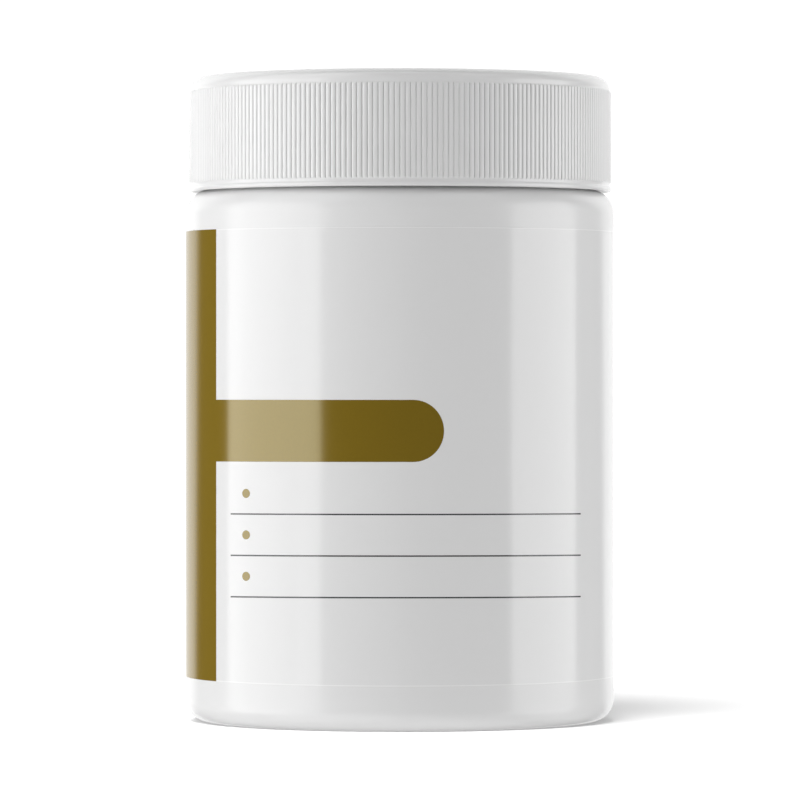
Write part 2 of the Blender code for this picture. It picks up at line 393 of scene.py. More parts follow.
def add_node(tree, kind, place, **values):
    """A node at a place in the editor, with its settings and its unlinked inputs filled in."""
    node = tree.nodes.new(kind)
    node.location = place
    for name, value in values.items():
        label = name.replace("_", " ")
        if label in node.inputs:
            node.inputs[label].default_value = value
        else:
            setattr(node, name, value)
    return node


def link(tree, source, output, target, entry):
    tree.links.new(source.outputs[output], target.inputs[entry])


def new_group(name, inputs, outputs):
    """An empty shader group with float inputs, given as name to default, and named outputs."""
    tree = bpy.data.node_groups.new(name, "ShaderNodeTree")
    for label, default in inputs.items():
        socket = tree.interface.new_socket(label, in_out="INPUT", socket_type="NodeSocketFloat")
        socket.default_value = default
    for label, kind in outputs.items():
        tree.interface.new_socket(label, in_out="OUTPUT", socket_type=kind)
    entry = add_node(tree, "NodeGroupInput", (-900, 0))
    exit_node = add_node(tree, "NodeGroupOutput", (700, 0))
    return tree, entry, exit_node


def moulded_skin_group():
    """Fine texture and slow waves of moulded plastic, and the change in gloss that they bring."""
    tree, entry, out = new_group(
        "moulded_skin",
        {"Grain Scale": 1500.0, "Wave Scale": 60.0, "Grain Height": 0.02, "Wave Height": 0.5,
         "Roughness": 0.3, "Gloss Change": 0.06},
        {"Normal": "NodeSocketVector", "Roughness": "NodeSocketFloat"},
    )
    place = add_node(tree, "ShaderNodeTexCoord", (-900, 300))
    grain = add_node(tree, "ShaderNodeTexNoise", (-650, 300), Detail=3.0)
    wave = add_node(tree, "ShaderNodeTexNoise", (-650, 0), Detail=2.0)
    for texture, scale in ((grain, "Grain Scale"), (wave, "Wave Scale")):
        link(tree, place, "Object", texture, "Vector")
        link(tree, entry, scale, texture, "Scale")
    wave_bump = add_node(tree, "ShaderNodeBump", (-150, 0), Distance=0.0001)
    link(tree, wave, "Fac", wave_bump, "Height")
    link(tree, entry, "Wave Height", wave_bump, "Strength")
    grain_bump = add_node(tree, "ShaderNodeBump", (150, 200), Distance=0.0001)
    link(tree, grain, "Fac", grain_bump, "Height")
    link(tree, entry, "Grain Height", grain_bump, "Strength")
    link(tree, wave_bump, "Normal", grain_bump, "Normal")
    link(tree, grain_bump, "Normal", out, "Normal")
    centred = add_node(tree, "ShaderNodeMath", (-400, -250), operation="SUBTRACT")
    centred.inputs[1].default_value = 0.5
    link(tree, wave, "Fac", centred, 0)
    change = add_node(tree, "ShaderNodeMath", (-150, -250), operation="MULTIPLY_ADD")
    link(tree, centred, "Value", change, 0)
    link(tree, entry, "Gloss Change", change, 1)
    link(tree, entry, "Roughness", change, 2)
    link(tree, change, "Value", out, "Roughness")
    return tree


def mottle_group():
    """A slight unevenness of colour, as a mask round 1 that a colour is multiplied by."""
    tree, entry, out = new_group(
        "mottle", {"Scale": 400.0, "Amount": 0.03}, {"Shade": "NodeSocketFloat"}
    )
    place = add_node(tree, "ShaderNodeTexCoord", (-900, 300))
    noise = add_node(tree, "ShaderNodeTexNoise", (-650, 200), Detail=4.0, Roughness=0.6)
    link(tree, place, "Object", noise, "Vector")
    link(tree, entry, "Scale", noise, "Scale")
    centred = add_node(tree, "ShaderNodeMath", (-400, 200), operation="SUBTRACT")
    centred.inputs[1].default_value = 0.5
    link(tree, noise, "Fac", centred, 0)
    shade_node = add_node(tree, "ShaderNodeMath", (-150, 200), operation="MULTIPLY_ADD")
    link(tree, centred, "Value", shade_node, 0)
    link(tree, entry, "Amount", shade_node, 1)
    shade_node.inputs[2].default_value = 1.0
    link(tree, shade_node, "Value", out, "Shade")
    return tree


def shared_group(name, maker):
    return bpy.data.node_groups.get(name) or maker()


def place_group(tree, group, place, **values):
    node = add_node(tree, "ShaderNodeGroup", place)
    node.node_tree = group
    for name, value in values.items():
        node.inputs[name.replace("_", " ")].default_value = value
    return node


def tinted(tree, base, mask_node, mask, place):
    """A colour multiplied by a mask."""
    mix = add_node(tree, "ShaderNodeMix", place, data_type="RGBA", blend_type="MULTIPLY")
    mix.inputs["Factor"].default_value = 1.0
    mix.inputs[MIX_A].default_value = (*base, 1.0)
    tree.links.new(mask_node.outputs[mask], mix.inputs[MIX_B])
    return mix


def new_material(name):
    material = bpy.data.materials.new(name)
    material.use_nodes = True
    tree = material.node_tree
    return material, tree, tree.nodes["Principled BSDF"]


def plastic_material(name, base, skin, mottle, ior=1.5):
    """Moulded plastic, film or ink: a tinted colour with the skin's normals and gloss."""
    material, tree, shader = new_material(name)
    shader.inputs["IOR"].default_value = ior
    skin_node = place_group(
        tree, shared_group("moulded_skin", moulded_skin_group), (-400, -200), **skin
    )
    mottle_node = place_group(tree, shared_group("mottle", mottle_group), (-700, 200), **mottle)
    mix = tinted(tree, base, mottle_node, "Shade", (-400, 200))
    tree.links.new(mix.outputs[MIX_RESULT], shader.inputs["Base Color"])
    link(tree, skin_node, "Normal", shader, "Normal")
    link(tree, skin_node, "Roughness", shader, "Roughness")
    return material


def jar_plastic():
    base = bpy.context.scene.powder_jar_colours.jar
    skin = {"Grain_Scale": 1400.0, "Wave_Scale": 45.0, "Grain_Height": 0.02,
            "Wave_Height": 0.6, "Roughness": 0.24, "Gloss_Change": 0.06}
    return plastic_material("jar_plastic", base, skin, {"Scale": 90.0, "Amount": 0.02})


def lid_plastic():
    base = bpy.context.scene.powder_jar_colours.lid
    skin = {"Grain_Scale": 2600.0, "Wave_Scale": 70.0, "Grain_Height": 0.015,
            "Wave_Height": 0.3, "Roughness": 0.19, "Gloss_Change": 0.04}
    mottle = {"Scale": 120.0, "Amount": 0.02}
    return plastic_material("lid_plastic", base, skin, mottle, ior=1.56)


# Width and colour of a painted highlight: a paler band along the label film's top and bottom edges,
# standing in for the light that those edges catch
PAINTED_HIGHLIGHT_WIDTH = 0.22 * MM
PAINTED_HIGHLIGHT_COLOUR = (0.93, 0.93, 0.93, 1.0)
FILM_SKIN = {"Grain_Scale": 3200.0, "Wave_Scale": 40.0, "Grain_Height": 0.012,
             "Wave_Height": 0.4, "Roughness": 0.15, "Gloss_Change": 0.04}


def film_material():
    """Label film, with a painted highlight: a paler band in its colour along its top and bottom
    edges.
    """
    base = bpy.context.scene.powder_jar_colours.film
    material = plastic_material("label_film", base, FILM_SKIN, {"Scale": 700.0, "Amount": 0.012})
    tree = material.node_tree
    shader = tree.nodes["Principled BSDF"]
    plain = shader.inputs["Base Color"].links[0].from_socket
    place = add_node(tree, "ShaderNodeTexCoord", (-1100, 600))
    axes = add_node(tree, "ShaderNodeSeparateXYZ", (-900, 600))
    link(tree, place, "Object", axes, "Vector")
    from_middle = add_node(tree, "ShaderNodeMath", (-700, 600), operation="SUBTRACT")
    from_middle.inputs[1].default_value = 0.5 * (LABEL_LOW.z + LABEL_HIGH.z)
    link(tree, axes, "Z", from_middle, 0)
    away = add_node(tree, "ShaderNodeMath", (-500, 600), operation="ABSOLUTE")
    link(tree, from_middle, "Value", away, 0)
    # Mask of the painted highlight, rising towards the film's top and bottom edges
    half = 0.5 * (LABEL_HIGH.z - LABEL_LOW.z)
    edge = add_node(
        tree, "ShaderNodeMapRange", (-300, 600),
        From_Min=half - PAINTED_HIGHLIGHT_WIDTH, From_Max=half - 0.6 * PAINTED_HIGHLIGHT_WIDTH,
    )
    link(tree, away, "Value", edge, "Value")
    # Mixes the painted highlight into the film's colour
    pale = add_node(tree, "ShaderNodeMix", (-100, 400), data_type="RGBA")
    link(tree, edge, "Result", pale, "Factor")
    tree.links.new(plain, pale.inputs[MIX_A])
    pale.inputs[MIX_B].default_value = PAINTED_HIGHLIGHT_COLOUR
    tree.links.new(pale.outputs[MIX_RESULT], shader.inputs["Base Color"])
    return material


def gold_ink():
    """A gold lacquer, shinier than the film, with a tinted shine."""
    colours = bpy.context.scene.powder_jar_colours
    mottle = {"Scale": 2200.0, "Amount": 0.14}
    material = plastic_material("gold_ink", colours.gold, FILM_SKIN, mottle, ior=1.9)
    shader = material.node_tree.nodes["Principled BSDF"]
    shader.inputs["Specular Tint"].default_value = (*colours.gold_shine, 1.0)
    return material


def grey_ink():
    grey = bpy.context.scene.powder_jar_colours.grey
    return plastic_material("grey_ink", grey, FILM_SKIN, {"Scale": 2200.0, "Amount": 0.16})


def foam_material():
    """Expanded foam: small closed cells."""
    material, tree, shader = new_material("liner_foam")
    shader.inputs["Roughness"].default_value = 0.7
    place = add_node(tree, "ShaderNodeTexCoord", (-1100, 0))
    cells = add_node(tree, "ShaderNodeTexVoronoi", (-850, 0), Scale=1800.0)
    link(tree, place, "Object", cells, "Vector")
    bump = add_node(tree, "ShaderNodeBump", (-400, -200), Distance=0.0002, Strength=0.5)
    link(tree, cells, "Distance", bump, "Height")
    link(tree, bump, "Normal", shader, "Normal")
    mottle_node = place_group(
        tree, shared_group("mottle", mottle_group), (-700, 200), Scale=1500.0, Amount=0.1
    )
    base = bpy.context.scene.powder_jar_colours.foam
    mix = tinted(tree, base, mottle_node, "Shade", (-400, 200))
    tree.links.new(mix.outputs[MIX_RESULT], shader.inputs["Base Color"])
    return material


def powder_material():
    """Dry ground mushroom: pale grains with darker specks."""
    colours = bpy.context.scene.powder_jar_colours
    material, tree, shader = new_material("mushroom_powder")
    shader.inputs["Roughness"].default_value = 0.95
    place = add_node(tree, "ShaderNodeTexCoord", (-1300, 0))
    grains = add_node(tree, "ShaderNodeTexVoronoi", (-1050, 200), Scale=2600.0)
    clumps = add_node(tree, "ShaderNodeTexNoise", (-1050, -150), Scale=260.0, Detail=6.0)
    for texture in (grains, clumps):
        link(tree, place, "Object", texture, "Vector")
    ramp = add_node(tree, "ShaderNodeValToRGB", (-750, 200))
    ramp.color_ramp.elements[0].position = 0.1
    ramp.color_ramp.elements[0].color = (*colours.powder_dark, 1.0)
    ramp.color_ramp.elements[1].position = 0.45
    ramp.color_ramp.elements[1].color = (*colours.powder, 1.0)
    link(tree, grains, "Distance", ramp, "Fac")
    mix = add_node(tree, "ShaderNodeMix", (-400, 200), data_type="RGBA", blend_type="MULTIPLY")
    mix.inputs["Factor"].default_value = 0.35
    tree.links.new(ramp.outputs["Color"], mix.inputs[MIX_A])
    tree.links.new(clumps.outputs["Color"], mix.inputs[MIX_B])
    tree.links.new(mix.outputs[MIX_RESULT], shader.inputs["Base Color"])
    bump = add_node(tree, "ShaderNodeBump", (-400, -250), Distance=0.0004, Strength=0.8)
    link(tree, grains, "Distance", bump, "Height")
    link(tree, bump, "Normal", shader, "Normal")
    return material


# ---------------------------------------------------------------- the pieces


class POWDERJAR_OT_body(bpy.types.Operator):
    """Model the hollow jar with its heel, shoulder, neck and thread"""

    bl_idname = "powder_jar.body"
    bl_label = "Jar Body"

    def execute(self, context):
        sizes = context.scene.powder_jar_sizes
        radius, heel = sizes.wall_radius, sizes.heel_radius
        shoulder = sizes.shoulder_height - sizes.shoulder_radius
        jar = add_cylinder("jar_wall", WALL_SIDES, radius, heel, shoulder)
        edit(jar)
        pick_cap(jar, heel)
        draw_out((radius, heel), self.base_outline(sizes))
        pick_cap(jar, shoulder)
        draw_out((radius, shoulder), self.neck_outline(sizes) + self.bore_outline(sizes))
        leave_edit()
        thread = make_thread(
            "neck_thread", sizes.neck_radius, 1.0, context.scene.powder_jar_thread.jar_start
        )
        unite(jar, thread)
        finish_piece(jar, "jar", "jar_plastic", jar_plastic(), "jar_body")
        return {"FINISHED"}

    def base_outline(self, sizes):
        """Round the heel, under the standing ring and up to the raised middle."""
        radius, heel, ring = sizes.wall_radius, sizes.heel_radius, sizes.ring_radius
        push_up = sizes.push_up
        return [
            *arc((radius - heel, heel), heel, 0, -90, 10),
            (ring + 0.6 * MM, 0.0),
            *arc((ring + 0.6 * MM, 0.6 * MM), 0.6 * MM, -90, -135, 3),
            (ring - 4.2 * MM, push_up - 0.25 * MM),
            (ring - 5.2 * MM, push_up),
            (1.6 * MM, push_up + 0.2 * MM),
        ]

    def neck_outline(self, sizes):
        """Over the shoulder and up the neck to its rounded rim."""
        shoulder = sizes.shoulder_radius
        centre = (sizes.wall_radius - shoulder, sizes.shoulder_height - shoulder)
        neck_foot = sizes.neck_radius + 0.2 * MM
        end = math.degrees(math.acos((neck_foot - centre[0]) / shoulder))
        rim, rounding = JAR_HIGH.z, 0.4 * MM
        return [
            *arc(centre, shoulder, 0, end, 12),
            (neck_foot, sizes.shoulder_height + 0.05 * MM),
            (sizes.neck_radius, sizes.shoulder_height + 0.25 * MM),
            (sizes.neck_radius, rim - rounding),
            *arc((sizes.neck_radius - rounding, rim - rounding), rounding, 0, 90, 4),
            (sizes.neck_bore + rounding, rim),
            *arc((sizes.neck_bore + rounding, rim - rounding), rounding, 90, 180, 4),
        ]

    def bore_outline(self, sizes):
        """Down the bore, out under the shoulder, down the wall and across the floor."""
        inner, floor = sizes.wall_radius - sizes.wall, sizes.base_top
        shoulder, heel = sizes.shoulder_radius - sizes.wall, sizes.heel_radius - sizes.wall
        shoulder_foot = sizes.shoulder_height - sizes.shoulder_radius
        return [
            (sizes.neck_bore, sizes.shoulder_height - 0.5 * MM),
            (inner - shoulder, shoulder_foot + shoulder),
            *arc((inner - shoulder, shoulder_foot), shoulder, 90, 0, 6),
            (inner, floor + heel),
            *arc((inner - heel, floor + heel), heel, 0, -90, 6),
            (sizes.ring_radius - 0.3 * MM, floor),
            (sizes.ring_radius - 4.7 * MM, floor + sizes.push_up - 0.1 * MM),
            (1.6 * MM, floor + sizes.push_up + 0.1 * MM),
        ]


class POWDERJAR_OT_lid(bpy.types.Operator):
    """Model the screw lid with its ribs, lip, rounded top edge and inner thread"""

    bl_idname = "powder_jar.lid"
    bl_label = "Ribbed Lid"

    def execute(self, context):
        sizes = context.scene.powder_jar_lid
        wall = sizes.wall_radius
        lid = add_cylinder("ribbed_lid", sizes.ribs, wall, sizes.rib_bottom, sizes.rib_top)
        edit(lid)
        pick_cap(lid, sizes.rib_top)
        draw_out((wall, sizes.rib_top), self.top_outline(sizes))
        pick_cap(lid, sizes.rib_bottom)
        draw_out((wall, sizes.rib_bottom), self.lip_outline(sizes) + self.bore_outline(sizes))
        self.raise_ribs(lid, sizes)
        leave_edit()
        thread = make_thread(
            "lid_thread", sizes.bore, -1.0, context.scene.powder_jar_thread.lid_start
        )
        unite(lid, thread)
        finish_piece(lid, "cap", "lid_plastic", lid_plastic(), "lid")
        return {"FINISHED"}

    def top_outline(self, sizes):
        """Over the rounded top edge to the mark left by the moulding gate."""
        centre = sizes.wall_radius - sizes.edge_radius
        top, gate = LID_HIGH.z, sizes.gate_radius
        return [
            *arc((centre, top - sizes.edge_radius), sizes.edge_radius, 0, 90, 10),
            (gate, top),
            (gate - 0.4 * MM, top - sizes.gate_depth),
            (gate - 2.2 * MM, top - sizes.gate_depth),
            (gate - 2.4 * MM, top - 0.1 * MM),
        ]

    def lip_outline(self, sizes):
        """Down the plain band and round the lip to the mouth of the lid."""
        bottom, wall, lip_top = LID_LOW.z, sizes.wall_radius, sizes.lip_top
        lip, rounding = wall + 0.25 * MM, 0.4 * MM
        return [
            (wall, lip_top + 0.1 * MM),
            (wall + 0.03 * MM, lip_top),
            *arc((lip - rounding, lip_top - rounding), rounding, 75, 0, 5),
            (lip, bottom + rounding),
            *arc((lip - rounding, bottom + rounding), rounding, 0, -90, 5),
        ]

    def bore_outline(self, sizes):
        """In at the mouth, up the skirt past the bead, and across under the top."""
        bottom, bore, ceiling = LID_LOW.z, sizes.bore, LID_HIGH.z - sizes.top_thickness
        bead, crest = sizes.bead_height, bore - sizes.bead_depth
        return [
            (sizes.mouth, bottom),
            (bore, bottom + 1.3 * MM),
            (bore, bead - 0.65 * MM),
            (crest + 0.1 * MM, bead - 0.2 * MM),
            (crest, bead),
            (crest + 0.1 * MM, bead + 0.2 * MM),
            (bore, bead + 0.65 * MM),
            (bore, ceiling - 0.3 * MM),
            (bore - 0.3 * MM, ceiling),
            (2.0 * MM, ceiling),
        ]

    def raise_ribs(self, lid, sizes):
        """Insets every side face on its own, lifts it, slopes its ends and rounds its edges."""
        low, high = sizes.rib_bottom, sizes.rib_top
        middle_height = 0.5 * (low + high)
        pick(lid, "FACE", lambda middle, corners: near(middle.z, middle_height)
             and near(max(corner.xy.length for corner in corners), sizes.wall_radius))
        bpy.ops.mesh.inset(
            thickness=0.5 * sizes.groove_width, depth=sizes.rib_depth, use_individual=True
        )
        bpy.ops.transform.resize(
            value=(1.0, 1.0, 1.0 - 2.0 * sizes.rib_slope / (high - low)),
            center_override=(0.0, 0.0, middle_height),
        )
        crest = sizes.wall_radius + 0.9 * sizes.rib_depth
        pick(lid, "EDGE", lambda middle, corners: min(c.xy.length for c in corners) > crest
             and low < middle.z < high)
        bpy.ops.mesh.bevel(offset=sizes.rib_edge, segments=3, profile=0.5, affect="EDGES")


class POWDERJAR_OT_label(bpy.types.Operator):
    """Model the wrap label, open at its seam at the back"""

    bl_idname = "powder_jar.label"
    bl_label = "Wrap Label"

    def execute(self, context):
        sizes = context.scene.powder_jar_sizes
        inner = sizes.wall_radius + sizes.label_gap
        label = add_cylinder(
            "label_sheet", LABEL_SIDES, inner, LABEL_LOW.z, LABEL_HIGH.z, ends="NOTHING"
        )
        edit(label)
        pick(label, "FACE", lambda middle, corners: middle.y > 0.0 and 0.0 < middle.x < MM)
        bpy.ops.mesh.delete(type="FACE")
        leave_edit()
        apply_modifier(label, "SOLIDIFY", thickness=sizes.label_thickness, offset=1.0)
        edit(label, "EDGE")
        outer = inner + 0.9 * sizes.label_thickness
        pick(label, "EDGE", lambda middle, corners: min(c.xy.length for c in corners) > outer
             and (near(middle.z, LABEL_LOW.z) or near(middle.z, LABEL_HIGH.z)))
        bpy.ops.mesh.bevel(offset=0.4 * sizes.label_thickness, segments=1, affect="EDGES")
        leave_edit()
        finish_piece(label, "jar", "label_film", film_material(), "label")
        return {"FINISHED"}


class POWDERJAR_OT_print(bpy.types.Operator):
    """Model the printed band, tab, bullets and ruled lines as thin layers of ink"""

    bl_idname = "powder_jar.print"
    bl_label = "Label Print"

    def execute(self, context):
        sizes = context.scene.powder_jar_print
        gold = gold_ink()
        grey = grey_ink()
        band = self.flat_patch(
            "gold_band", sizes.band_left, sizes.band_right, LABEL_LOW.z, LABEL_HIGH.z
        )
        self.add_tab(band, sizes)
        self.lay_on_label(band, "label_gold", gold)
        for row in range(3):
            height = sizes.rule_top - row * sizes.rule_pitch
            rule = self.flat_patch(
                f"rule_{row + 1}", sizes.rule_left, sizes.rule_right,
                height - 0.5 * sizes.rule_width, height + 0.5 * sizes.rule_width,
            )
            self.lay_on_label(rule, "label_grey", grey)
            bullet = self.flat_disc(
                f"bullet_{row + 1}", sizes.bullet_place, height + sizes.bullet_rise,
                sizes.bullet_width, sizes.bullet_height,
            )
            self.lay_on_label(bullet, "label_gold", gold)
        return {"FINISHED"}

    def flat_patch(self, name, left, right, bottom, top):
        """An upright rectangle, flat for now: x runs round the label and z up it."""
        bpy.ops.object.select_all(action="DESELECT")
        bpy.ops.mesh.primitive_grid_add(
            x_subdivisions=max(2, round((right - left) / MM)), y_subdivisions=1, size=1.0,
            rotation=(0.5 * math.pi, 0.0, 0.0),
            location=(0.5 * (left + right), 0.0, 0.5 * (bottom + top)),
        )
        patch = bpy.context.object
        patch.name = name
        patch.scale = (right - left, top - bottom, 1.0)
        bpy.ops.object.transform_apply(location=True, rotation=True, scale=True)
        return patch

    def flat_disc(self, name, across, height, disc_width, disc_height):
        bpy.ops.object.select_all(action="DESELECT")
        bpy.ops.mesh.primitive_circle_add(
            vertices=BULLET_SIDES, radius=0.5, fill_type="NGON", rotation=(0.5 * math.pi, 0.0, 0.0),
            location=(across, 0.0, height),
        )
        disc = bpy.context.object
        disc.name = name
        disc.scale = (disc_width, disc_height, 1.0)
        bpy.ops.object.transform_apply(location=True, rotation=True, scale=True)
        return disc

    def add_tab(self, band, sizes):
        """Extrudes the tab out of the band's right edge and gives it a round end."""
        bottom, top, right = sizes.tab_bottom, sizes.tab_top, sizes.band_right
        edit(band, "FACE")
        for height in (bottom, top):
            bpy.ops.mesh.select_all(action="SELECT")
            bpy.ops.mesh.bisect(plane_co=(0.0, 0.0, height), plane_no=(0.0, 0.0, 1.0))
        pick(band, "EDGE", lambda middle, corners: near(middle.x, right)
             and bottom < middle.z < top)
        radius = 0.5 * (top - bottom)
        straight_end = sizes.tab_end - radius
        steps = round((straight_end - right) / MM)
        for step in range(steps):
            bpy.ops.mesh.extrude_region_move(
                TRANSFORM_OT_translate={"value": ((straight_end - right) / steps, 0.0, 0.0)}
            )
        rounds, tip = 16, 0.001 * MM
        across, half = 0.0, radius
        for step in range(1, rounds + 1):
            angle = 0.5 * math.pi * step / rounds
            next_across, next_half = radius * math.sin(angle), max(radius * math.cos(angle), tip)
            bpy.ops.mesh.extrude_region_move(
                TRANSFORM_OT_translate={"value": (next_across - across, 0.0, 0.0)}
            )
            bpy.ops.transform.resize(
                value=(1.0, 1.0, next_half / half),
                center_override=(straight_end + next_across, 0.0, 0.5 * (bottom + top)),
            )
            across, half = next_across, next_half
        bpy.ops.mesh.select_all(action="SELECT")
        bpy.ops.mesh.remove_doubles(threshold=TINY_EDGE)
        leave_edit()

    def lay_on_label(self, patch, slot, material):
        """Wraps the flat patch round the label and gives it the thickness of the ink."""
        sizes = bpy.context.scene.powder_jar_sizes
        rows = bpy.context.scene.powder_jar_print
        radius = sizes.wall_radius + sizes.label_gap + sizes.label_thickness + sizes.ink_gap
        for vertex in patch.data.vertices:
            angle = vertex.co.x / LABEL_HIGH.x
            height = vertex.co.z
            if LABEL_LOW.z + MM < height < LABEL_HIGH.z - MM:
                height -= rows.row_sag * (rows.level_row - height) * (1.0 - math.cos(angle))
            vertex.co = (radius * math.sin(angle), -radius * math.cos(angle), height)
        apply_modifier(patch, "SOLIDIFY", thickness=sizes.ink_thickness, offset=1.0)
        finish_piece(patch, "jar", slot, material)


class POWDERJAR_OT_contents(bpy.types.Operator):
    """Model the heap of powder in the jar and finish the liner in the lid"""

    bl_idname = "powder_jar.contents"
    bl_label = "Powder and Liner"

    def execute(self, context):
        sizes = context.scene.powder_jar_sizes
        ring, push_up = sizes.ring_radius, sizes.push_up
        radius = POWDER_HIGH.x - 0.25 * MM
        floor = POWDER_LOW.z + 0.1 * MM
        rounding = 2.4 * MM
        top = POWDER_HIGH.z - 1.5 * MM
        powder = add_cylinder("powder_heap", POWDER_SIDES, radius, floor + rounding, top)
        edit(powder)
        pick_cap(powder, floor + rounding)
        draw_out((radius, floor + rounding), [
            *arc((radius - rounding, floor + rounding), rounding, 0, -90, 5),
            (ring - 0.3 * MM, floor),
            (ring - 4.9 * MM, floor + push_up + 0.05 * MM),
            (1.0 * MM, floor + push_up + 0.15 * MM),
        ])
        pick_cap(powder, top)
        steps = 24
        draw_out((radius, top), [
            (radius * (1.0 - step / steps) + 0.4 * MM, top + sizes.powder_heap * step / steps)
            for step in range(1, steps + 1)
        ])
        leave_edit()
        self.ripple(powder, top, sizes.powder_ripple)
        finish_piece(powder, "jar", "powder", powder_material(), "mushroom_powder")
        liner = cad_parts["lid_liner"]
        liner.data.materials.clear()
        liner.data.materials.append(foam_material())
        return {"FINISHED"}

    def ripple(self, powder, top, height):
        """Lifts the top surface into low lumps that die out at the wall."""
        lumps = bpy.data.textures.new("powder_lumps", "CLOUDS")
        lumps.noise_scale = 9.0 * MM
        lumps.noise_depth = 3
        group = powder.vertex_groups.new(name="powder_top")
        radius = max(vertex.co.xy.length for vertex in powder.data.vertices)
        for vertex in powder.data.vertices:
            if vertex.co.z > top - NEARBY:
                inside = min(1.0, 1.2 * (1.0 - vertex.co.xy.length / radius) + 0.1)
                group.add([vertex.index], inside, "REPLACE")
        apply_modifier(
            powder, "DISPLACE", texture=lumps, texture_coords="LOCAL", strength=height,
            mid_level=0.5, vertex_group=group.name, direction="Z",
        )


# ---------------------------------------------------------------- the studio


class POWDERJAR_OT_studio(bpy.types.Operator):
    """Set up the pale floor, the soft lights and the camera"""

    bl_idname = "powder_jar.studio"
    bl_label = "Studio and Camera"

    def execute(self, context):
        scene = context.scene
        scene.view_settings.view_transform = "Standard"
        self.add_world(scene)
        floor = self.add_floor()
        self.add_floor_light(floor, bearing=-20.0, rise=60.0)
        # name, brightness, then bearing from the camera towards +X, rise, width and height in degrees
        self.add_softbox("left_softbox", 2.6, -88.0, 0.0, 32.0, 56.0)
        self.add_softbox("key_softbox", 2.65, -57.0, 0.0, 30.0, 56.0)
        self.add_softbox("right_strip", 2.45, 84.0, 0.0, 47.0, 56.0)
        self.add_softbox("upper_left_softbox", 1.15, -68.0, 46.0, 50.0, 36.0)
        self.add_softbox("upper_right_softbox", 0.46, 67.0, 46.0, 50.0, 36.0)
        self.add_softbox("overhead_strip", 1.7, 0.0, 78.0, 70.0, 10.0)
        self.add_softbox("table_bounce", 1.1, -45.0, -46.0, 60.0, 38.0)
        self.add_camera(scene)
        return {"FINISHED"}

    def add_world(self, scene):
        """White for the camera; for the object, dim in front, and pale behind and below."""
        world = bpy.data.worlds.new("studio")
        scene.world = world
        world.use_nodes = True
        tree = world.node_tree
        background = tree.nodes["Background"]
        background.inputs["Color"].default_value = (1.0, 1.0, 1.0, 1.0)
        place = add_node(tree, "ShaderNodeTexCoord", (-1100, 0))
        towards = add_node(tree, "ShaderNodeVectorMath", (-900, 0), operation="DOT_PRODUCT")
        rise = math.radians(BACKDROP_RISE)
        towards.inputs[1].default_value = (0.0, math.cos(rise), math.sin(rise))
        link(tree, place, "Generated", towards, 0)
        backdrop = add_node(
            tree, "ShaderNodeMapRange", (-700, 0), interpolation_type="SMOOTHSTEP",
            From_Min=BACKDROP_EDGE[0], From_Max=BACKDROP_EDGE[1],
            To_Min=FRONT_LIGHT, To_Max=BACKDROP_LIGHT,
        )
        link(tree, towards, "Value", backdrop, "Value")
        axes = add_node(tree, "ShaderNodeSeparateXYZ", (-900, -300))
        link(tree, place, "Generated", axes, "Vector")
        bounce = add_node(
            tree, "ShaderNodeMapRange", (-700, -300), interpolation_type="SMOOTHSTEP",
            From_Min=BOUNCE_EDGE[0], From_Max=BOUNCE_EDGE[1], To_Min=0.0, To_Max=BOUNCE_LIGHT,
        )
        link(tree, axes, "Z", bounce, "Value")
        room = add_node(tree, "ShaderNodeMath", (-450, -100), operation="MAXIMUM")
        link(tree, backdrop, "Result", room, 0)
        link(tree, bounce, "Result", room, 1)
        path = add_node(tree, "ShaderNodeLightPath", (-450, 200))
        seen = add_node(tree, "ShaderNodeMath", (-200, 0), operation="MAXIMUM")
        link(tree, path, "Is Camera Ray", seen, 0)
        link(tree, room, "Value", seen, 1)
        link(tree, seen, "Value", background, "Strength")

    def add_floor(self):
        """A round plain floor that takes a soft shadow, with a glow that the camera doesn't see."""
        bpy.ops.object.select_all(action="DESELECT")
        bpy.ops.mesh.primitive_circle_add(
            vertices=FLOOR_SIDES, radius=FLOOR_RADIUS, fill_type="NGON",
            location=(0.0, 0.0, -FLOOR_SINK),
        )
        floor = bpy.context.object
        floor.name = "studio_floor"
        material, tree, shader = new_material("studio_floor")
        shader.inputs["Roughness"].default_value = 0.9
        shader.inputs["Specular IOR Level"].default_value = 0.0
        shader.inputs["Emission Color"].default_value = (1.0, 1.0, 1.0, 1.0)
        path = add_node(tree, "ShaderNodeLightPath", (-700, 0))
        tone = add_node(
            tree, "ShaderNodeMapRange", (-400, 100), To_Min=FLOOR_BOUNCE, To_Max=FLOOR_TONE
        )
        link(tree, path, "Is Camera Ray", tone, "Value")
        link(tree, tone, "Result", shader, "Base Color")
        place = add_node(tree, "ShaderNodeTexCoord", (-1300, -300))
        distance = add_node(tree, "ShaderNodeVectorMath", (-1100, -300), operation="LENGTH")
        link(tree, place, "Object", distance, 0)
        near_glow = add_node(
            tree, "ShaderNodeMapRange", (-900, -300), interpolation_type="SMOOTHSTEP",
            From_Min=JAR_HIGH.x, From_Max=CONTACT_REACH * JAR_HIGH.x,
            To_Min=CONTACT_GLOW, To_Max=FLOOR_GLOW,
        )
        link(tree, distance, "Value", near_glow, "Value")
        glow = add_node(tree, "ShaderNodeMapRange", (-400, -300), To_Max=0.0)
        link(tree, near_glow, "Result", glow, "To Min")
        link(tree, path, "Is Camera Ray", glow, "Value")
        link(tree, glow, "Result", shader, "Emission Strength")
        floor.data.materials.append(material)
        floor.visible_glossy = False
        floor.visible_shadow = False
        return floor

    def add_floor_light(self, floor, bearing, rise):
        """A soft high lamp for the floor alone, which draws the shadow beside the jar."""
        lit = bpy.data.collections.new("lit_by_floor_light")
        lit.objects.link(floor)
        data = bpy.data.lights.new("floor_light", "SUN")
        data.energy = FLOOR_LIGHT
        data.angle = math.radians(FLOOR_LIGHT_SPREAD)
        lamp = self.hang_lamp(data, bearing, rise)
        lamp.light_linking.receiver_collection = lit

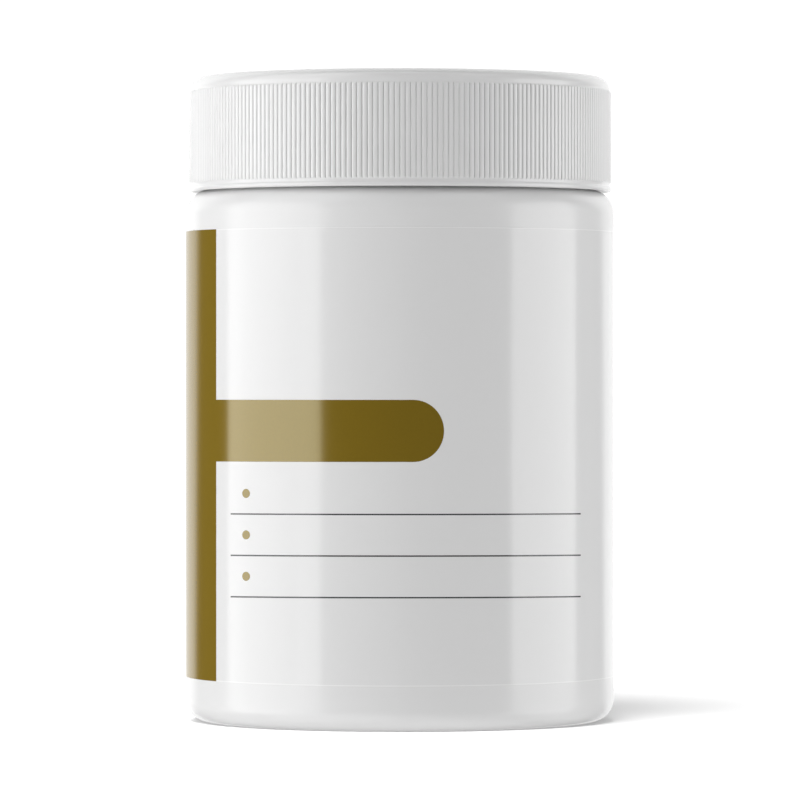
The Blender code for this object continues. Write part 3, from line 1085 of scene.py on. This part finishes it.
    def add_softbox(self, name, brightness, bearing, rise, width, height):
        """An area light that the camera doesn't see, sized by its angles from the jar."""
        data = bpy.data.lights.new(name, "AREA")
        data.shape = "RECTANGLE"
        data.size = 2.0 * LIGHT_DISTANCE * math.tan(math.radians(0.5 * width))
        data.size_y = 2.0 * LIGHT_DISTANCE * math.tan(math.radians(0.5 * height))
        data.energy = brightness * math.pi * data.size * data.size_y
        self.hang_lamp(data, bearing, rise).visible_camera = False

    def hang_lamp(self, data, bearing, rise):
        """Hangs a lamp at a bearing and a rise in degrees, aimed at the middle of the jar."""
        across, up = math.radians(bearing), math.radians(rise)
        away = Vector((
            math.sin(across) * math.cos(up), -math.cos(across) * math.cos(up), math.sin(up)
        ))
        lamp = bpy.data.objects.new(data.name, data)
        bpy.context.scene.collection.objects.link(lamp)
        lamp.location = Vector((0.0, 0.0, 0.5 * LID_HIGH.z)) + LIGHT_DISTANCE * away
        lamp.rotation_euler = (-away).to_track_quat("-Z", "Y").to_euler()
        return lamp

    def add_camera(self, scene):
        """A long lens, almost level, a little above the middle of the jar."""
        data = bpy.data.cameras.new("camera")
        data.lens = CAMERA_LENS
        data.sensor_width = CAMERA_SENSOR
        camera = bpy.data.objects.new("camera", data)
        scene.collection.objects.link(camera)
        camera.location = (0.0, -CAMERA_DISTANCE, CAMERA_HEIGHT)
        camera.rotation_euler = (math.radians(90.0 - CAMERA_DIP), 0.0, 0.0)
        scene.camera = camera


class POWDERJAR_PT_panel(bpy.types.Panel):
    """Buttons and settings for the powder jar"""

    bl_idname = "POWDERJAR_PT_panel"
    bl_label = "Powder Jar"
    bl_space_type = "VIEW_3D"
    bl_region_type = "UI"
    bl_category = "Powder Jar"

    def draw(self, context):
        layout = self.layout
        for operator in OPERATORS:
            layout.operator(operator.bl_idname)
        for attribute in SETTINGS:
            settings = getattr(context.scene, attribute)
            box = layout.box()
            for name in settings.__annotations__:
                box.prop(settings, name)


OPERATORS = (
    POWDERJAR_OT_body,
    POWDERJAR_OT_lid,
    POWDERJAR_OT_label,
    POWDERJAR_OT_print,
    POWDERJAR_OT_contents,
    POWDERJAR_OT_studio,
)
SETTINGS = {
    "powder_jar_sizes": JarSizes,
    "powder_jar_lid": LidSizes,
    "powder_jar_thread": ThreadSizes,
    "powder_jar_print": PrintSizes,
    "powder_jar_colours": JarColours,
}
CLASSES = (*SETTINGS.values(), *OPERATORS, POWDERJAR_PT_panel)


def register():
    for item in CLASSES:
        bpy.utils.register_class(item)
    for attribute, group in SETTINGS.items():
        setattr(bpy.types.Scene, attribute, PointerProperty(type=group))


def unregister():
    for attribute in SETTINGS:
        delattr(bpy.types.Scene, attribute)
    for item in reversed(CLASSES):
        bpy.utils.unregister_class(item)


def main():
    register()
    bpy.ops.powder_jar.body()
    bpy.ops.powder_jar.lid()
    bpy.ops.powder_jar.label()
    bpy.ops.powder_jar.print()
    bpy.ops.powder_jar.contents()
    bpy.ops.powder_jar.studio()


if __name__ == "__main__":
    main()
